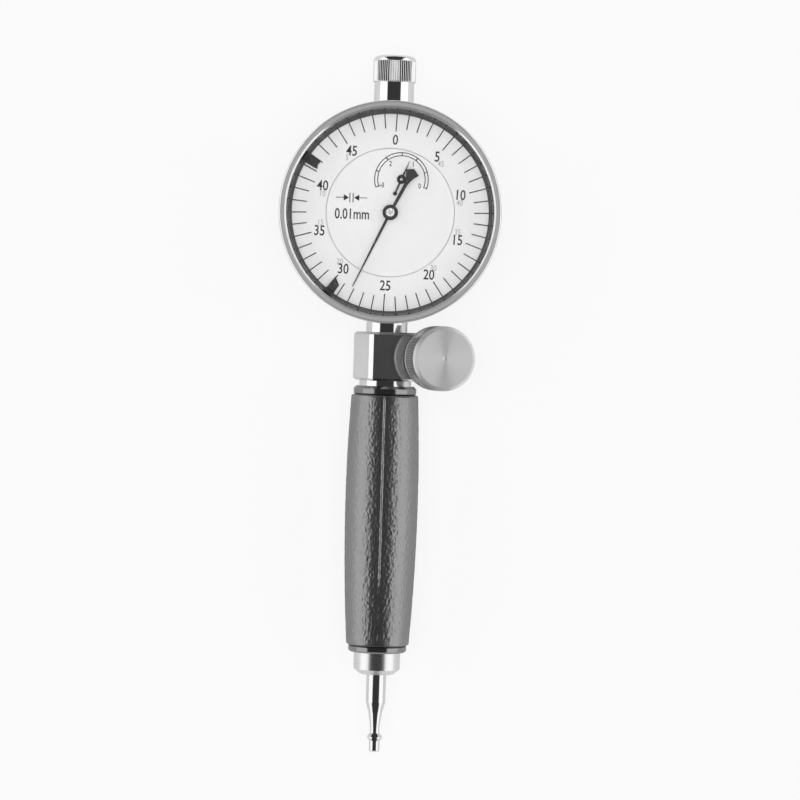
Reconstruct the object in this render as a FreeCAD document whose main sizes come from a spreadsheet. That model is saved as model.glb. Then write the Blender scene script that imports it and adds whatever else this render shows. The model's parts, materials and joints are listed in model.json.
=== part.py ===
import FreeCAD
import Part
import Sketcher
import math
import os

# Dial bore gauge: a 42 mm class dial indicator, clamped by its 8 mm stem to a handle with a slim
# split-ball probe. Its own frame has the dial's centre on the stem's axis, Y up the stem and Z out
# of the dial. The gauge lies on its back cover, so the part's origin is below that frame's.

# Driving dimensions in millimetres and degrees. Lengths down the handle are counted from the dial's
# centre; heights are counted from the stem's axis, towards the dial's face.
DIMENSIONS = {
    # Where the gauge's frame stands in the part's frame.
    "dial_centre": 37.4,
    "axis_height": 8.5,
    # Fits and small edges.
    "running_gap": 0.03,
    "edge": 0.3,
    # Case, a cup open at the front, with lugs for the screws of its plate and cover.
    "case_radius": 20.5,
    "case_bore": 17.8,
    "case_depth": 7.0,
    "case_shoulder": 4.1,
    "spigot_radius": 19.6,
    "spigot_front": 5.8,
    "seat_radius": 18.5,
    "plate_back": 4.6,
    "plate_front": 5.2,
    "cover_thickness": 1.5,
    "lug_radius": 1.6,
    "lug_spacing": 11.6,
    "screw_radius": 0.8,
    "screw_head": 1.4,
    "screw_length": 3.0,
    # Bezel, its retaining ring, the crystal and the dial.
    "bezel_radius": 21.5,
    "bezel_back": 4.2,
    "bezel_front": 11.5,
    "face_outer": 21.2,
    "face_inner": 20.4,
    "rim_drop": 0.5,
    "crystal_radius": 20.05,
    "crystal_back": 9.3,
    "crystal_edge": 10.5,
    "crystal_front": 10.9,
    "ledge_radius": 18.9,
    "ledge_back": 5.9,
    "ledge_front": 6.2,
    "groove_middle": 5.0,
    "groove_half": 0.15,
    "groove_depth": 0.3,
    "coin_edge_depth": 0.22,
    "dial_outer": 19.95,
    "dial_inner": 12.5,
    "dial_front": 6.6,
    "centre_dial_radius": 12.4,
    "centre_dial_back": 5.95,
    "centre_dial_front": 6.45,
    "dial_foot_circle": 10.5,
    "marker_ring_foot": 19.1,
    "marker_ring_top": 19.75,
    "marker_inner": 16.0,
    "marker_half": 0.8,
    "notch_near": 16.67,
    "notch_middle": 16.8,
    "notch_far": 16.4,
    "slant_near": 16.27,
    "slant_far": 17.2,
    "marker_back": 7.0,
    "marker_top": 8.8,
    "marker_sheet": 0.25,
    "marker_width": 5.4,
    "marker_gap": 0.06,
    # Hands. The tail's end stands a little to one side of the pointer's line.
    "hand_back": 7.7,
    "hand_sheet": 0.2,
    "hand_hub": 1.5,
    "hand_length": 16.1,
    "hand_root": 0.3,
    "hand_tip": 0.1,
    "tail_half": 0.34,
    "tail_rod": 5.6,
    "tail_corner": 8.8,
    "tail_flare": 1.41,
    "tail_end": 9.56,
    "tail_shift": 0.31,
    "flare_radius": 5.3,
    "hand_bush": 0.9,
    "hand_bush_back": 7.5,
    "hand_bush_front": 8.35,
    "bush_edge": 0.12,
    "hand_arbor_end": 8.2,
    "counter_back": 6.95,
    "counter_sheet": 0.15,
    "counter_length": 3.9,
    "counter_root": 0.2,
    "counter_tip": 0.05,
    "counter_rod": 0.15,
    "counter_tail": 3.0,
    "counter_disc": 0.4,
    "counter_hub": 0.88,
    "counter_bush": 0.55,
    "counter_bush_back": 6.8,
    "counter_bush_front": 7.3,
    "counter_pivot": 0.25,
    "counter_arbor_end": 7.2,
    # Movement: arbors, wheels and plates.
    "arbor_across": 1.97,
    "arbor_up": 6.49,
    "arbor_radius": 0.55,
    "pivot_radius": 0.4,
    "wheel_pitch": 6.165,
    "pinion_pitch": 0.6165,
    "tooth_rise": 0.08,
    "tooth_fall": 0.14,
    "wheel_back": 2.8,
    "wheel_sheet": 0.3,
    "pinion_back": 2.5,
    "pinion_front": 3.3,
    "collet_back": 3.4,
    "collet_front": 4.1,
    "collet_radius": 0.8,
    "hairspring_back": 3.5,
    "stud_radius": 0.35,
    "rack_pitch": 0.5,
    "rack_rise": 0.11,
    "rack_fall": 0.185,
    "rack_line": 1.1742,
    "rack_half_width": 1.05,
    "mid_plate_back": 1.9,
    "mid_plate_front": 2.4,
    "mid_plate_half_width": 8.6,
    "mid_plate_half_length": 16.2,
    "mid_plate_corner": 6.0,
    "bridge_back": 3.2,
    "bridge_front": 2.6,
    "guide_pin_up": 11.0,
    "spring_across": 4.2,
    "spring_reach": 13.0,
    # Spindle and its bushes.
    "spindle_radius": 1.7,
    "spindle_end": 35.0,
    "spindle_shoulder": 25.5,
    "spindle_top": 28.5,
    "thread_radius": 1.25,
    "point_thread": 0.9,
    "point_end": 38.2,
    "bush_radius": 2.6,
    "upper_bush_top": 24.0,
    # Lift cap.
    "cap_bottom": 20.7,
    "cap_bore": 2.9,
    "cap_skirt": 3.85,
    "cap_radius": 4.15,
    "cap_knurl_bottom": 25.5,
    "cap_top": 30.8,
    "cap_round": 0.8,
    "cap_flute": 0.16,
    # Stem and clamp.
    "stem_radius": 4.0,
    "stem_inner_end": 17.6,
    "stem_end": 33.0,
    "block_top": 23.2,
    "block_bottom": 32.7,
    "block_left": 5.0,
    "block_right": 11.9,
    "block_half_depth": 5.33,
    "block_front_edge": 0.7,
    "block_rear_edge": 1.25,
    "block_edge": 0.45,
    "block_turn": 18.0,
    "split_width": 1.0,
    "clamp_across": 8.3,
    "clamp_drop": 28.0,
    "clamp_screw_radius": 1.5,
    "clamp_screw_back": 5.0,
    "knob_radius": 6.3,
    "knob_back": 5.8,
    "knob_front": 12.0,
    "knob_boss": 3.4,
    "knob_face": 5.7,
    "knob_bevel": 0.6,
    "knob_dimple": 0.55,
    "knob_screw_depth": 2.5,
    "knob_flute": 0.22,
    # Handle.
    "neck_radius": 5.05,
    "neck_end": 40.0,
    "tube_top": 33.6,
    "tube_bore": 2.5,
    "collar_top": 33.75,
    "collar_radius": 6.15,
    "grip_top": 35.5,
    "grip_widest": 56.0,
    "grip_bottom": 84.5,
    "grip_top_radius": 6.55,
    "grip_radius": 7.15,
    "grip_bottom_radius": 6.15,
    "lower_collar_radius": 5.7,
    "handle_end": 85.9,
    "ferrule_radius": 4.55,
    "ferrule_chamfer": 1.0,
    "ferrule_nose": 3.3,
    "ferrule_end": 90.3,
    "ferrule_thread": 3.2,
    "ferrule_thread_top": 80.0,
    # Probe, needle and push rod.
    "probe_radius": 1.925,
    "probe_thread": 1.75,
    "probe_top": 80.2,
    "probe_straight": 95.9,
    "probe_waist": 97.9,
    "probe_waist_radius": 1.35,
    "probe_neck": 100.8,
    "probe_neck_radius": 0.94,
    "ball_top": 102.0,
    "ball_radius": 1.45,
    "ball_middle": 102.8,
    "ball_bottom": 103.5,
    "pilot_radius": 1.05,
    "probe_end": 105.6,
    "probe_bore": 0.45,
    "probe_counterbore": 1.0,
    "needle_radius": 0.4,
    "needle_cone": 101.5,
    "needle_tip": 102.3,
    "needle_top": 79.0,
    "needle_head": 0.9,
    "probe_slot": 0.24,
    "probe_slot_top": 97.2,
    "rod_radius": 1.0,
    "rod_head": 1.6,
}

# Counts, and the angles at which the hands and markers stand, clockwise from the top of the dial.
WHEEL_TEETH = 100
PINION_TEETH = 10
RACK_TEETH = 17
COIN_EDGE_COUNT = 72
CAP_FLUTES = 36
KNOB_FLUTES = 48
HAND_ANGLE = 205.3
COUNTER_ANGLE = 22.6
MARKER_ANGLES = {"upper_marker": 301.6, "lower_marker": 216.1}
SPRING_COILS = 8.25
HAIRSPRING_TURNS = 3
GRIP_BANDS = 4


class Size:
    """A number together with the expression on the sheet's cells that gives it."""

    def __init__(self, value, text):
        self.value = value
        self.text = text

    @staticmethod
    def of(thing):
        return thing if isinstance(thing, Size) else Size(float(thing), repr(float(thing)))

    def __float__(self):
        return self.value

    def __neg__(self):
        return Size(-self.value, f"(-{self.text})")

    def __add__(self, other):
        other = Size.of(other)
        return Size(self.value + other.value, f"({self.text} + {other.text})")

    def __sub__(self, other):
        other = Size.of(other)
        return Size(self.value - other.value, f"({self.text} - {other.text})")

    def __mul__(self, other):
        other = Size.of(other)
        return Size(self.value * other.value, f"({self.text} * {other.text})")

    def __truediv__(self, other):
        other = Size.of(other)
        return Size(self.value / other.value, f"({self.text} / {other.text})")

    __radd__ = __add__
    __rmul__ = __mul__


class Sizes:
    """The spreadsheet of driving dimensions; each alias is an attribute."""

    def __init__(self, document, dimensions):
        sheet = document.addObject("Spreadsheet::Sheet", "Sizes")
        for row, (alias, value) in enumerate(dimensions.items(), start=1):
            sheet.set(f"A{row}", alias.replace("_", " "))
            sheet.set(f"B{row}", str(value))
            sheet.setAlias(f"B{row}", alias)
            setattr(self, alias, Size(value, f"Sizes.{alias}"))


doc = FreeCAD.newDocument("dial_bore_gauge")
S = Sizes(doc, DIMENSIONS)
doc.recompute()
PARTS = []


def placed(x=0.0, y=0.0, z=0.0, axis=(0, 0, 1), turn=0.0):
    """A placement in the gauge's frame, given in the part's frame."""
    base = FreeCAD.Placement(FreeCAD.Vector(0, S.dial_centre.value, S.axis_height.value), FreeCAD.Rotation())
    spot = FreeCAD.Vector(float(x), float(y), float(z))
    return base * FreeCAD.Placement(spot, FreeCAD.Rotation(FreeCAD.Vector(*axis), float(turn)))


GAUGE = placed()
CLAMP = placed(axis=(0, 1, 0), turn=S.block_turn)


def new_body(label, place=GAUGE):
    body = doc.addObject("PartDesign::Body", label)
    body.Label = label
    body.Placement = place
    PARTS.append(body)
    return body


def new_sketch(body, plane, height=0.0, across=0.0, up=0.0):
    """An empty sketch on one of the body's planes, shifted along its normal and in its plane."""
    sketch = body.newObject("Sketcher::SketchObject", body.Label + "_sketch")
    support = next(f for f in body.Origin.OriginFeatures if f.Role == plane)
    sketch.AttachmentSupport = [(support, "")]
    sketch.MapMode = "FlatFace"
    for name, size in zip("xyz", (across, up, height)):
        size = Size.of(size)
        if size.value:
            sketch.setExpression(f".AttachmentOffset.Base.{name}", size.text)
    return sketch


def bind(sketch, kind, *items):
    """Add a constraint whose last item is a size, and bind it to that size's expression."""
    size = Size.of(items[-1])
    index = sketch.addConstraint(Sketcher.Constraint(kind, *items[:-1], size.value))
    if "Sizes" in size.text:
        sketch.setExpression(f"Constraints[{index}]", size.text)


def draw(sketch, corners):
    """Draw a closed outline. A corner is (x, y), or (x, y, radius) where an arc arrives at it:
    a positive radius turns counter-clockwise along the outline, and a negative one clockwise."""
    first = sketch.GeometryCount
    ends = []
    points = [FreeCAD.Vector(float(c[0]), float(c[1]), 0) for c in corners]
    for i, corner in enumerate(corners):
        start, end = points[i - 1], points[i]
        if len(corner) == 2:
            sketch.addGeometry(Part.LineSegment(start, end))
            ends.append((1, 2))
            continue
        radius = float(corner[2])
        chord = end.sub(start)
        bow = abs(radius) - math.sqrt(radius ** 2 - chord.Length ** 2 / 4)
        side = FreeCAD.Vector(chord.y, -chord.x, 0).normalize()
        if radius < 0:
            side = side.negative()
        middle = start.add(end).multiply(0.5).add(side.multiply(bow))
        sketch.addGeometry(Part.Arc(start, middle, end))
        ends.append((1, 2) if radius > 0 else (2, 1))
    count = len(corners)
    for i in range(count):
        after = (i + 1) % count
        sketch.addConstraint(
            Sketcher.Constraint("Coincident", first + i, ends[i][1], first + after, ends[after][0]))
    for i, corner in enumerate(corners):
        bind(sketch, "DistanceX", -1, 1, first + i, ends[i][1], corner[0])
        bind(sketch, "DistanceY", -1, 1, first + i, ends[i][1], corner[1])
        if len(corner) == 3:
            radius = Size.of(corner[2])
            bind(sketch, "Radius", first + i, radius if radius.value > 0 else -radius)
    return sketch


def draw_circles(sketch, circles):
    """Draw circles given as (x, y, radius)."""
    for x, y, radius in circles:
        centre = FreeCAD.Vector(float(x), float(y), 0)
        index = sketch.addGeometry(Part.Circle(centre, FreeCAD.Vector(0, 0, 1), float(radius)))
        bind(sketch, "DistanceX", -1, 1, index, 3, x)
        bind(sketch, "DistanceY", -1, 1, index, 3, y)
        bind(sketch, "Radius", index, radius)
    return sketch


def feature(body, kind, sketch, length, reversed_side=False, both_sides=False):
    """A Pad or a Pocket of a sketch."""
    step = body.newObject("PartDesign::" + kind, f"{body.Label}_{kind.lower()}")
    step.Profile = sketch
    step.setExpression("Length", Size.of(length).text)
    step.Reversed = reversed_side
    step.Midplane = both_sides
    return step


def revolve(body, sketch, angle=360.0, both_sides=False):
    step = body.newObject("PartDesign::Revolution", body.Label + "_revolution")
    step.Profile = sketch
    step.ReferenceAxis = (sketch, ["V_Axis"])
    step.Angle = angle
    step.Midplane = both_sides
    return step


def repeat_round(body, cut, sketch, count):
    """Repeat a cut about its sketch's normal."""
    pattern = body.newObject("PartDesign::PolarPattern", body.Label + "_pattern")
    pattern.Originals = [cut]
    pattern.Axis = (sketch, ["N_Axis"])
    pattern.Angle = 360
    pattern.Occurrences = count
    body.Tip = pattern


def turned_on_stem(label, corners, place=GAUGE):
    """A piece turned about the Y axis, from its half section (radius, height)."""
    body = new_body(label, place)
    revolve(body, draw(new_sketch(body, "XY_Plane"), corners))
    return body


def turned_on_dial(label, corners, place=GAUGE):
    """A piece turned about its own Z axis, from its half section (radius, height)."""
    body = new_body(label, place)
    revolve(body, draw(new_sketch(body, "XZ_Plane"), corners))
    return body


def turned_group(label, corners, spots):
    """Like pieces turned about axes along Z that stand at the given spots (x, y)."""
    body = new_body(label)
    for x, y in spots:
        revolve(body, draw(new_sketch(body, "XZ_Plane", -Size.of(y), x), corners))
    return body


def plate(label, back, front, outline, holes):
    """A flat plate with round holes; the outline is a list of corners, or one circle."""
    body = new_body(label)
    sketch = new_sketch(body, "XY_Plane", back)
    if isinstance(outline, list):
        draw(sketch, outline)
    else:
        draw_circles(sketch, [outline])
    draw_circles(sketch, holes)
    feature(body, "Pad", sketch, front - back)
    return body


def drill(body, plane, circles, height, length, upwards=True):
    """Round holes from a height on the plane's normal, cut along the normal or against it."""
    sketch = draw_circles(new_sketch(body, plane, height), circles)
    feature(body, "Pocket", sketch, length, reversed_side=upwards)


def cut_teeth(body, back, thickness, pitch_radius, teeth, rise, fall):
    """Tooth spaces of a wheel or pinion, with the first space on the body's X axis."""
    pitch = pitch_radius * (2 * math.pi / teeth)
    sketch = new_sketch(body, "XY_Plane", back)
    root = pitch_radius - fall
    beyond = pitch_radius + rise * 1.2
    # The space is 0.57 of the pitch wide at the pitch circle, which leaves the teeth some backlash.
    half = pitch * ((rise * 1.2 / fall + 1) * 0.285)
    draw(sketch, [(root, 0), (beyond, -half), (beyond, half)])
    cut = feature(body, "Pocket", sketch, thickness, reversed_side=True)
    repeat_round(body, cut, sketch, teeth)


def wheel(label, place, pitch_radius, teeth, back, bore):
    """A stamped wheel on its own axis."""
    tip = pitch_radius + S.tooth_rise
    body = turned_on_dial(label, [
        (bore, back), (tip, back), (tip, back + S.wheel_sheet), (bore, back + S.wheel_sheet)], place)
    cut_teeth(body, back, S.wheel_sheet, pitch_radius, teeth, S.tooth_rise, S.tooth_fall)
    return body


# Places that several pieces share.
LUGS = [(S.lug_spacing, S.lug_spacing), (-S.lug_spacing, S.lug_spacing),
        (-S.lug_spacing, -S.lug_spacing), (S.lug_spacing, -S.lug_spacing)]
PILLARS = [(-7.4, 6.0), (7.4, -6.0), (0.0, -15.0), (0.0, 15.0)]
POSTS = [(-6.4, -3.9), (-6.4, -9.1)]
# The rack's arbor and the take-up arbor stand on opposite sides of the hand's arbor, and the take-up
# arbor carries the counter hand.
RACK_ARBOR = (-S.arbor_across, -S.arbor_up)
TAKE_UP_ARBOR = (S.arbor_across, S.arbor_up)
HAIRSPRING_RADIUS = 3.4
CENTRE = (0.0, 0.0)
PIVOT_HOLE = S.pivot_radius + S.running_gap


def make_case():
    groove_low = S.groove_middle - S.groove_half
    groove_high = S.groove_middle + S.groove_half
    groove_floor = S.spigot_radius - S.groove_depth
    case = turned_on_dial("case", [
        (S.case_bore, -S.case_depth), (S.case_radius, -S.case_depth), (S.case_radius, S.case_shoulder),
        (S.spigot_radius, S.case_shoulder), (S.spigot_radius, groove_low), (groove_floor, groove_low),
        (groove_floor, groove_high), (S.spigot_radius, groove_high), (S.spigot_radius, S.spigot_front),
        (S.seat_radius, S.spigot_front), (S.seat_radius, S.plate_back), (S.case_bore, S.plate_back)])
    lugs = draw_circles(new_sketch(case, "XY_Plane", -S.case_depth), [(x, y, S.lug_radius) for x, y in LUGS])
    feature(case, "Pad", lugs, S.case_depth + S.plate_back)
    holes = [(x, y, S.screw_radius) for x, y in LUGS]
    drill(case, "XY_Plane", holes, -S.case_depth, S.screw_length)
    drill(case, "XY_Plane", holes, S.plate_back, S.screw_length, upwards=False)
    # The stem and the upper bush go through the wall, down and up the stem's axis.
    drill(case, "XZ_Plane", [(0, 0, S.stem_radius)], 0, S.case_radius + 1)
    drill(case, "XZ_Plane", [(0, 0, S.bush_radius)], 0, S.case_radius + 1, upwards=False)


def make_back_cover():
    outside = -S.axis_height
    inside = -S.case_depth
    cover = turned_on_dial("back_cover", [
        (0, outside), (S.case_radius - S.edge, outside), (S.case_radius, outside + S.edge),
        (S.case_radius, inside), (0, inside)])
    drill(cover, "XY_Plane", [(x, y, S.screw_radius) for x, y in LUGS], outside, S.cover_thickness)
    sinks = new_sketch(cover, "XY_Plane", outside)
    draw_circles(sinks, [(x, y, S.screw_head) for x, y in LUGS])
    sink = feature(cover, "Pocket", sinks, S.screw_head - S.screw_radius, reversed_side=True)
    sink.TaperAngle = -45
    turned_group("back_cover_screws", [
        (0, outside), (S.screw_head, outside), (S.screw_radius, outside + S.screw_head - S.screw_radius),
        (S.screw_radius, inside + S.screw_length - 0.1), (0, inside + S.screw_length - 0.1)], LUGS)


def make_bezel():
    groove_low = S.groove_middle - S.groove_half
    groove_high = S.groove_middle + S.groove_half
    bore = S.spigot_radius + 0.05
    groove_roof = bore + S.groove_depth
    rim = S.bezel_front - S.rim_drop
    bezel = turned_on_dial("bezel", [
        (bore, S.bezel_back), (S.bezel_radius - 0.5, S.bezel_back), (S.bezel_radius, S.bezel_back + 0.6),
        (S.bezel_radius, rim), (S.face_outer, S.bezel_front), (S.face_inner, S.bezel_front),
        (S.crystal_radius, S.bezel_front - (S.face_inner - S.crystal_radius)),
        (S.crystal_radius, S.ledge_front), (S.ledge_radius, S.ledge_front), (S.ledge_radius, S.ledge_back),
        (bore, S.ledge_back), (bore, groove_high), (groove_roof, groove_high), (groove_roof, groove_low),
        (bore, groove_low)])
    notch = new_sketch(bezel, "XY_Plane", S.bezel_back)
    reach = S.bezel_radius + 0.05
    half = S.bezel_radius * (math.pi / COIN_EDGE_COUNT * 0.62)
    draw(notch, [(S.bezel_radius - S.coin_edge_depth, 0), (reach, -half), (reach, half)])
    cut = feature(bezel, "Pocket", notch, rim - S.bezel_back, reversed_side=True)
    repeat_round(bezel, cut, notch, COIN_EDGE_COUNT)
    inner = S.spigot_radius - S.groove_depth + S.running_gap
    outer = groove_roof - S.running_gap
    low = groove_low + S.running_gap
    high = groove_high - S.running_gap
    turned_on_dial("bezel_spring", [(inner, low), (outer, low), (outer, high), (inner, high)])


def make_crystal_and_dial():
    edge = S.crystal_radius
    turned_on_dial("crystal", [
        (0, S.crystal_back), (edge, S.crystal_back), (edge, S.crystal_edge),
        (edge - 0.4, S.crystal_front), (0, S.crystal_front)])
    turned_on_dial("marker_ring", [
        (S.marker_ring_foot, S.dial_front), (edge, S.dial_front), (edge, S.crystal_back),
        (S.marker_ring_top, S.crystal_back)])
    turned_on_dial("dial_ring", [
        (S.dial_inner, S.ledge_front), (S.dial_outer, S.ledge_front), (S.dial_outer, S.dial_front),
        (S.dial_inner, S.dial_front)])
    centre = plate("centre_dial", S.centre_dial_back, S.centre_dial_front,
                   (0, 0, S.centre_dial_radius), [(0, 0, 1.0), (*TAKE_UP_ARBOR, 0.8)])
    feet = []
    for degrees in (30, 150, 270):
        angle = math.radians(degrees)
        feet.append((S.dial_foot_circle * math.cos(angle), S.dial_foot_circle * math.sin(angle), 0.6))
    sketch = draw_circles(new_sketch(centre, "XY_Plane", S.plate_front), feet)
    feature(centre, "Pad", sketch, S.centre_dial_back - S.plate_front)


def make_markers():
    """Two black tabs that hook over the dial ring and slide on the marker ring's cone."""
    slope = (S.marker_ring_top - S.marker_ring_foot) / (S.crystal_back - S.dial_front)
    foot = S.marker_ring_foot + slope * (S.marker_back - S.dial_front) - S.marker_gap
    top = S.marker_ring_foot + slope * (S.marker_top - S.dial_front) - S.marker_gap
    sheet, half = S.marker_sheet, S.marker_half
    # The inner end's radius at the tab's clockwise edge, middle and other edge: one tab has a
    # shallow V there, and the other is cut on a slant.
    ends = {
        "upper_marker": (S.notch_near, S.notch_middle, S.notch_far),
        "lower_marker": (S.slant_near, (S.slant_near + S.slant_far) / 2, S.slant_far)}
    for label, (near, middle, far) in ends.items():
        body = new_body(label, placed(turn=90 - MARKER_ANGLES[label]))
        sketch = draw(new_sketch(body, "XZ_Plane"), [
            (S.marker_inner, S.marker_back), (foot, S.marker_back), (top, S.marker_top),
            (top - sheet, S.marker_top), (foot - sheet, S.marker_back + sheet),
            (S.marker_inner, S.marker_back + sheet)])
        revolve(body, sketch, S.marker_width.value, both_sides=True)
        cut = draw(new_sketch(body, "XY_Plane", S.marker_back), [
            (S.marker_inner - sheet, -half), (near, -half), (middle, 0), (far, half),
            (S.marker_inner - sheet, half)])
        feature(body, "Pocket", cut, sheet * 2, reversed_side=True)


def make_hands():
    """The hands are pressed sheet, each riveted on a turned bush that is a push fit on its arbor."""
    hand = new_body("main_hand", placed(turn=-HAND_ANGLE))
    left, right = -S.tail_shift - S.tail_flare, -S.tail_shift + S.tail_flare
    bend = S.tail_shift * (S.tail_rod / S.tail_corner)
    sketch = draw(new_sketch(hand, "XY_Plane", S.hand_back), [
        (-S.hand_root, 0), (-S.tail_half - bend, -S.tail_rod), (left, -S.tail_corner, -S.flare_radius),
        (-S.tail_shift, -S.tail_end), (right, -S.tail_corner),
        (S.tail_half - bend, -S.tail_rod, -S.flare_radius), (S.hand_root, 0),
        (S.hand_tip, S.hand_length), (-S.hand_tip, S.hand_length)])
    feature(hand, "Pad", sketch, S.hand_sheet)
    hub = draw_circles(new_sketch(hand, "XY_Plane", S.hand_back), [(0, 0, S.hand_hub)])
    feature(hand, "Pad", hub, S.hand_sheet)
    drill(hand, "XY_Plane", [(0, 0, S.hand_bush)], S.hand_back, S.hand_sheet)
    turned_on_dial("hand_bush", [
        (S.pivot_radius, S.hand_bush_back), (S.hand_bush, S.hand_bush_back),
        (S.hand_bush, S.hand_bush_front - S.bush_edge), (S.hand_bush - S.bush_edge, S.hand_bush_front),
        (S.pivot_radius, S.hand_bush_front)])

    small = new_body("counter_hand", placed(*TAKE_UP_ARBOR, turn=-COUNTER_ANGLE))
    rod, root, tip = S.counter_rod, S.counter_root, S.counter_tip
    sketch = draw(new_sketch(small, "XY_Plane", S.counter_back), [
        (-rod, -S.counter_tail), (rod, -S.counter_tail), (root, 0), (tip, S.counter_length),
        (-tip, S.counter_length), (-root, 0)])
    feature(small, "Pad", sketch, S.counter_sheet)
    for place, radius in ((-S.counter_tail, S.counter_disc), (0, S.counter_hub)):
        disc = draw_circles(new_sketch(small, "XY_Plane", S.counter_back), [(0, place, radius)])
        feature(small, "Pad", disc, S.counter_sheet)
    drill(small, "XY_Plane", [(0, 0, S.counter_bush)], S.counter_back, S.counter_sheet)
    turned_on_dial("counter_hand_bush", [
        (S.counter_pivot, S.counter_bush_back), (S.counter_bush, S.counter_bush_back),
        (S.counter_bush, S.counter_bush_front), (S.counter_pivot, S.counter_bush_front)],
        placed(*TAKE_UP_ARBOR))


def make_plates():
    plate("front_plate", S.plate_back, S.plate_front, (0, 0, S.seat_radius - 0.05), [
        (*CENTRE, PIVOT_HOLE), (*RACK_ARBOR, PIVOT_HOLE), (*TAKE_UP_ARBOR, PIVOT_HOLE)]
        + [(x, y, S.screw_radius) for x, y in LUGS])
    wide, long, corner = S.mid_plate_half_width, S.mid_plate_half_length, S.mid_plate_corner
    side, end = long - corner, wide - corner
    mid = plate("mid_plate", S.mid_plate_back, S.mid_plate_front, [
        (wide, -side, corner), (wide, side), (end, long, corner), (-end, long),
        (-wide, side, corner), (-wide, -side), (-end, -long, corner), (end, -long)],
        [(*CENTRE, PIVOT_HOLE), (*RACK_ARBOR, S.arbor_radius + 0.05), (*TAKE_UP_ARBOR, PIVOT_HOLE)])
    # The slot that keeps the spindle from turning: two drilled ends and the milled length between.
    half = S.pivot_radius + S.running_gap
    low, high = S.guide_pin_up - 0.1, S.guide_pin_up + 1.2
    drill(mid, "XY_Plane", [(0, low, half), (0, high, half)], S.mid_plate_back, 1)
    slot = draw(new_sketch(mid, "XY_Plane", S.mid_plate_back), [
        (half, low), (half, high), (-half, high), (-half, low)])
    feature(mid, "Pocket", slot, S.mid_plate_front - S.mid_plate_back, reversed_side=True)

    turned_group("plate_pillars", [
        (0, S.mid_plate_front), (0.9, S.mid_plate_front), (0.9, S.plate_back), (0, S.plate_back)], PILLARS)
    hole_end = S.plate_back - S.screw_length + 0.1
    turned_group("plate_screws", [
        (0, hole_end), (S.screw_radius, hole_end), (S.screw_radius, S.plate_front),
        (S.screw_head, S.plate_front), (S.screw_head, S.plate_front + 0.6), (0, S.plate_front + 0.6)], LUGS)
    plate("rear_bridge", -S.bridge_back, -S.bridge_front, [
        (-7.6, -8.9), (-6.1, -10.4, 1.5), (-2.0, -10.4), (-0.5, -8.9, 1.5), (-0.5, -4.1), (-2.0, -2.6, 1.5),
        (-6.1, -2.6), (-7.6, -4.1, 1.5)],
        [(*RACK_ARBOR, PIVOT_HOLE)])
    turned_group("bridge_posts", [
        (0, -S.bridge_front), (0.8, -S.bridge_front), (0.8, S.mid_plate_back), (0, S.mid_plate_back)], POSTS)


def make_gear_train():
    thin, thick = S.pivot_radius, S.arbor_radius
    half_space = 180.0 / PINION_TEETH
    rack_radius = S.rack_pitch * (PINION_TEETH / (2 * math.pi))
    tip = rack_radius + S.rack_rise
    low, top = S.mid_plate_back + 0.05, S.plate_front - 0.05
    # The angle from the rack's arbor to the hand's arbor, and on to the take-up arbor.
    inward = math.degrees(math.atan2(S.arbor_up.value, S.arbor_across.value))
    arbor = turned_on_dial("rack_arbor", [
        (0, -S.bridge_back + 0.05), (thin, -S.bridge_back + 0.05), (thin, -S.bridge_front + 0.1),
        (thick, -S.bridge_front + 0.1), (thick, -S.rack_half_width), (tip, -S.rack_half_width),
        (tip, S.rack_half_width), (thick, S.rack_half_width), (thick, S.plate_back - 0.1),
        (thin, S.plate_back - 0.1), (thin, top), (0, top)], placed(*RACK_ARBOR, turn=half_space))
    cut_teeth(arbor, -S.rack_half_width, S.rack_half_width * 2, rack_radius, PINION_TEETH,
              S.rack_rise, S.rack_fall)
    wheel("drive_gear", placed(*RACK_ARBOR, turn=inward), S.wheel_pitch, WHEEL_TEETH, S.wheel_back, thick)
    tip = S.pinion_pitch + S.tooth_rise
    back, front = S.pinion_back, S.pinion_front
    centre = turned_on_dial("centre_arbor", [
        (0, low), (thin, low), (thin, back), (tip, back), (tip, front), (thin, front),
        (thin, S.hand_arbor_end), (0, S.hand_arbor_end)], placed(turn=inward + half_space))
    cut_teeth(centre, back, front - back, S.pinion_pitch, PINION_TEETH, S.tooth_rise, S.tooth_fall)
    # The take-up arbor carries its wheel, the hairspring's collet and, on its thin end, a hand.
    turned_on_dial("take_up_arbor", [
        (0, low), (thin, low), (thin, back), (thick, back), (thick, S.collet_back),
        (S.collet_radius, S.collet_back), (S.collet_radius, S.collet_front), (thin, S.collet_front),
        (thin, top), (S.counter_pivot, top), (S.counter_pivot, S.counter_arbor_end),
        (0, S.counter_arbor_end)], placed(*TAKE_UP_ARBOR))
    wheel("take_up_gear", placed(*TAKE_UP_ARBOR, turn=inward + 180), S.wheel_pitch, WHEEL_TEETH,
          S.wheel_back, thick)
    turned_group("hairspring_stud", [
        (0, S.hairspring_back), (S.stud_radius, S.hairspring_back), (S.stud_radius, S.plate_back),
        (0, S.plate_back)],
        [(TAKE_UP_ARBOR[0] + HAIRSPRING_RADIUS, TAKE_UP_ARBOR[1])])


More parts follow.
